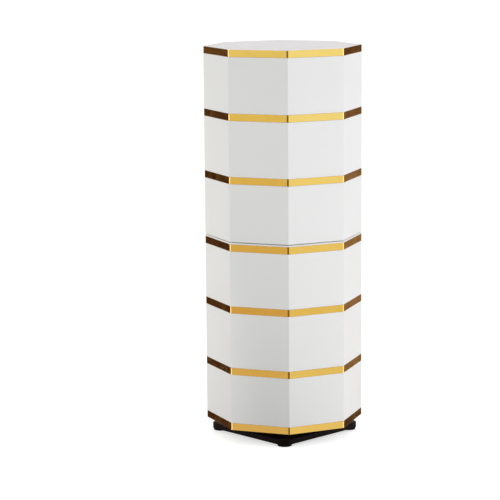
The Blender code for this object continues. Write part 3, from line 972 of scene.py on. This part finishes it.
# The back cards have pale streaks, taken from the middle range of a noise. The left one turns paler by
# a share, upwards from one elevation to another. The right one changes with the elevation, and is
# darker by a share between its streaks
STREAK_STRETCH = (1.0, 1.0, 3.0)
STREAK_SCALE = 140.0
STREAK_RANGE = (0.42, 0.58)
LEFT_CARD_DARK = (0.008, 0.002, 0.002)
LEFT_CARD_STREAK = (0.098, 0.041, 0.031)
LEFT_CARD_TOP = (0.13, 0.058, 0.034)
LEFT_CARD_TOP_FROM = (-5.6, -4.4)
LEFT_CARD_TOP_SHARE = 0.6
RIGHT_CARD = (
    (-14.4, (0.05, 0.022, 0.018)),
    (-13.3, (0.38, 0.24, 0.17)),
    (-7.5, (0.44, 0.28, 0.20)),
    (-5.5, (0.24, 0.12, 0.07)),
    (-4.0, (0.15, 0.068, 0.036)),
)
RIGHT_CARD_DARK = (0.03, 0.01, 0.005)
RIGHT_CARD_DARK_SHARE = 0.85


def make_camera():
    """The camera at the photograph's place: beside the front corner, above the middle, turned left."""
    data = bpy.data.cameras.new("photo camera")
    data.lens = CAMERA_LENS
    data.sensor_width = CAMERA_SENSOR
    data.clip_end = CAMERA_REACH
    camera = bpy.data.objects.new("photo camera", data)
    bpy.context.scene.collection.objects.link(camera)
    heading = Matrix.Rotation(CAMERA_HEADING, 4, "Z")
    tilt = Matrix.Rotation(pi / 2 - CAMERA_PITCH, 4, "X")
    roll = Matrix.Rotation(CAMERA_ROLL, 4, "Z")
    x, y = CAMERA_DISTANCE * plan(CAMERA_AZIMUTH)
    camera.matrix_world = Matrix.Translation((x, y, CAMERA_HEIGHT)) @ heading @ tilt @ roll
    bpy.context.scene.camera = camera


def hang_light(data, azimuth, distance, height, aim):
    """A light at a distance from the axis, turned towards its aim, which isn't seen itself."""
    light = bpy.data.objects.new(data.name, data)
    bpy.context.scene.collection.objects.link(light)
    light.location = (*(distance * plan(azimuth)), height)
    light.rotation_euler = (Vector(aim) - light.location).to_track_quat("-Z", "Y").to_euler()
    light.visible_camera = False
    light.visible_glossy = False


def make_softbox(name, azimuth, distance, height, width, tall, power, colour):
    """A soft light that faces the axis, a little above the cabinet's middle."""
    data = bpy.data.lights.new(f"{name} softbox", "AREA")
    data.shape = "RECTANGLE"
    data.size = width
    data.size_y = tall
    data.energy = power
    data.color = colour
    hang_light(data, radians(azimuth), distance, height, SOFTBOX_AIM)


def make_spotlight():
    """A spotlight that lights the lower tiers left of its cone's edge."""
    data = bpy.data.lights.new("spotlight", "SPOT")
    data.energy = SPOT_POWER
    data.spot_size = SPOT_CONE
    data.spot_blend = SPOT_BLEND
    data.shadow_soft_size = SPOT_RADIUS
    hang_light(data, SPOT_AZIMUTH, SPOT_DISTANCE, SPOT_HEIGHT, SPOT_AIM)


def floor_finish():
    """A pale floor, seen from above only, which lifts itself towards white for the camera.

    What it bounces back is greyer in a patch before the front corner, which the camera doesn't see:
    painted shade, so that the lower tiers get darker towards that corner.
    """
    made = bpy.data.materials.new("pale floor")
    made.use_nodes = True
    net = Net(made.node_tree)
    place = net.add("ShaderNodeTexCoord").outputs["Object"]
    seen = net.add("ShaderNodeLightPath").outputs["Is Camera Ray"]
    ends = {0: place, 1: SHADE_PATCH_CENTRE}
    off = net.add("ShaderNodeVectorMath", ends, operation="DISTANCE").outputs["Value"]
    # Painted shade: the bounce is greyer in a patch before the front corner, unseen by the camera
    bounce = net.spread(off, *SHADE_PATCH_FADE, SHADE_PATCH_GREY, FLOOR_GREY, "SMOOTHSTEP")
    pale = net.mix(net.noise(place, FLOOR_MOTTLE), *(rgb(*colour) for colour in FLOOR_PALE))
    diffuse = net.add("ShaderNodeBsdfDiffuse", {"Color": net.mix(seen, bounce, pale)})
    glow = net.add("ShaderNodeEmission", {"Strength": net.maths("MULTIPLY", seen, FLOOR_GLOW)})
    lit = net.add("ShaderNodeAddShader", {0: diffuse.outputs[0], 1: glow.outputs[0]}).outputs[0]
    below = net.add("ShaderNodeNewGeometry").outputs["Backfacing"]
    clear = net.add("ShaderNodeBsdfTransparent").outputs[0]
    surface = net.add("ShaderNodeMixShader", {0: below, 1: lit, 2: clear}).outputs[0]
    net.add("ShaderNodeOutputMaterial", {"Surface": surface})
    return made


def make_floor():
    """A wide disc under the feet, one flat face."""
    points, _, _ = circle(FLOOR_REACH, steps=96)
    mesh = bpy.data.meshes.new("floor")
    mesh.from_pydata(np.pad(points, ((0, 0), (0, 1))), [], [list(range(len(points)))])
    mesh.materials.append(floor_finish())
    floor = bpy.data.objects.new("floor", mesh)
    bpy.context.scene.collection.objects.link(floor)
    floor.visible_glossy = False


def directions(net):
    """A direction in the world, with its azimuth and its elevation in degrees."""
    direction = net.add("ShaderNodeTexCoord").outputs["Generated"]
    axes = net.add("ShaderNodeSeparateXYZ", {0: direction}).outputs
    around = net.maths("ARCTAN2", axes["X"], net.maths("MULTIPLY", axes["Y"], -1.0))
    azimuth = net.maths("MULTIPLY", around, 180 / pi)
    elevation = net.maths("MULTIPLY", net.maths("ARCSINE", axes["Z"]), 180 / pi)
    return direction, azimuth, elevation


def lamp_rows(net, azimuth):
    """1 in the lamps of both rows and 0 beside them: the azimuth is folded from lamp to lamp."""
    beside = net.maths("ABSOLUTE", azimuth)
    phase = net.maths("PINGPONG", net.maths("SUBTRACT", beside, LAMPS_FROM), LAMPS_APART / 2)
    tube = net.spread(phase, LAMP_HALF - LAMP_SOFT, LAMP_HALF + LAMP_SOFT, 1.0, 0.0)
    half_row = (LAMPS - 1) / 2 * LAMPS_APART
    row = net.maths("COMPARE", beside, LAMPS_FROM + half_row, half_row + 2 * LAMP_HALF)
    return net.maths("MULTIPLY", tube, row)


def card(net, azimuth, middle, half_width, soft):
    """1 on a card round an azimuth and 0 beside it, with soft edges."""
    off = net.maths("ABSOLUTE", net.maths("SUBTRACT", azimuth, middle))
    return net.spread(off, half_width - soft, half_width + soft, 1.0, 0.0, "SMOOTHSTEP")


def back_cards(net, direction, elevation):
    """Colours of the streaky cards, the left one and the right one."""
    grain = net.noise(net.stretch(direction, STREAK_STRETCH), STREAK_SCALE, detail=5.0)
    streaks = net.spread(grain, *STREAK_RANGE)
    left = net.mix(streaks, rgb(*LEFT_CARD_DARK), rgb(*LEFT_CARD_STREAK))
    top = net.spread(elevation, *LEFT_CARD_TOP_FROM, 0.0, LEFT_CARD_TOP_SHARE)
    left = net.mix(top, left, rgb(*LEFT_CARD_TOP))
    light = net.ramp(elevation, RIGHT_CARD)
    right = net.mix(streaks, net.mix(RIGHT_CARD_DARK_SHARE, light, rgb(*RIGHT_CARD_DARK)), light)
    return left, right


def mirrored_room(net):
    """What the mirror strips see: pale all round and warmer low down, with lamps and dark cards.

    A strip's reflection depends on the direction. There are four narrow lamps at each side, two dark
    cards behind the camera and a streaky one at each side towards the back.
    """
    direction, azimuth, elevation = directions(net)
    right_side = net.spread(azimuth, *SIDES_MEET)
    seen = net.mix(right_side, net.ramp(elevation, SEEN_LEFT), net.ramp(elevation, SEEN_RIGHT))
    back_left, back_right = back_cards(net, direction, elevation)
    front = rgb(*FRONT_CARD_COLOUR)
    shapes = (
        (lamp_rows(net, azimuth), rgb(*LAMP_COLOUR)),
        (card(net, azimuth, *BACK_LEFT_CARD), back_left),
        (card(net, azimuth, *BACK_RIGHT_CARD), back_right),
        (card(net, azimuth, *FRONT_RIGHT_CARD), front),
        (card(net, azimuth, *FRONT_LEFT_CARD), front),
    )
    above = net.spread(elevation, *LOWER_END)
    for mask, colour in shapes:
        seen = net.mix(net.maths("MULTIPLY", mask, above), seen, colour)
    return seen


def fill_light(net):
    """Plain light of the room, apart from reflections: stronger at the right and from above."""
    _, azimuth, elevation = directions(net)
    fill = net.mix(net.spread(azimuth, *FILL_ACROSS), rgb(*FILL_LEFT), rgb(*FILL_RIGHT))
    return net.mix(net.spread(elevation, *FILL_UPWARD), fill, rgb(*FILL_ABOVE))


def make_surroundings():
    """The room round the object: fill light, what the mirror strips see, and the camera's backdrop."""
    world = bpy.data.worlds.new("studio")
    bpy.context.scene.world = world
    world.use_nodes = True
    net = Net(world.node_tree)
    rays = net.add("ShaderNodeLightPath").outputs
    colour = net.mix(rays["Is Glossy Ray"], fill_light(net), mirrored_room(net))
    colour = net.mix(rays["Is Camera Ray"], colour, rgb(*BACKDROP))
    background = net.add("ShaderNodeBackground", {"Color": colour})
    net.add("ShaderNodeOutputWorld", {"Surface": background.outputs[0]})


make_walls()
make_shelves()
make_strips()
make_partitions()
make_caps()
make_module_bolts()
make_joint_boards()
make_base_board()
make_feet()
make_hub()
make_bearing()
make_bearing_screws()

make_floor()
make_surroundings()
for box_name, box_values in SOFTBOXES.items():
    make_softbox(box_name, *box_values)
make_spotlight()
make_camera()
bpy.context.scene.view_settings.view_transform = "Standard"
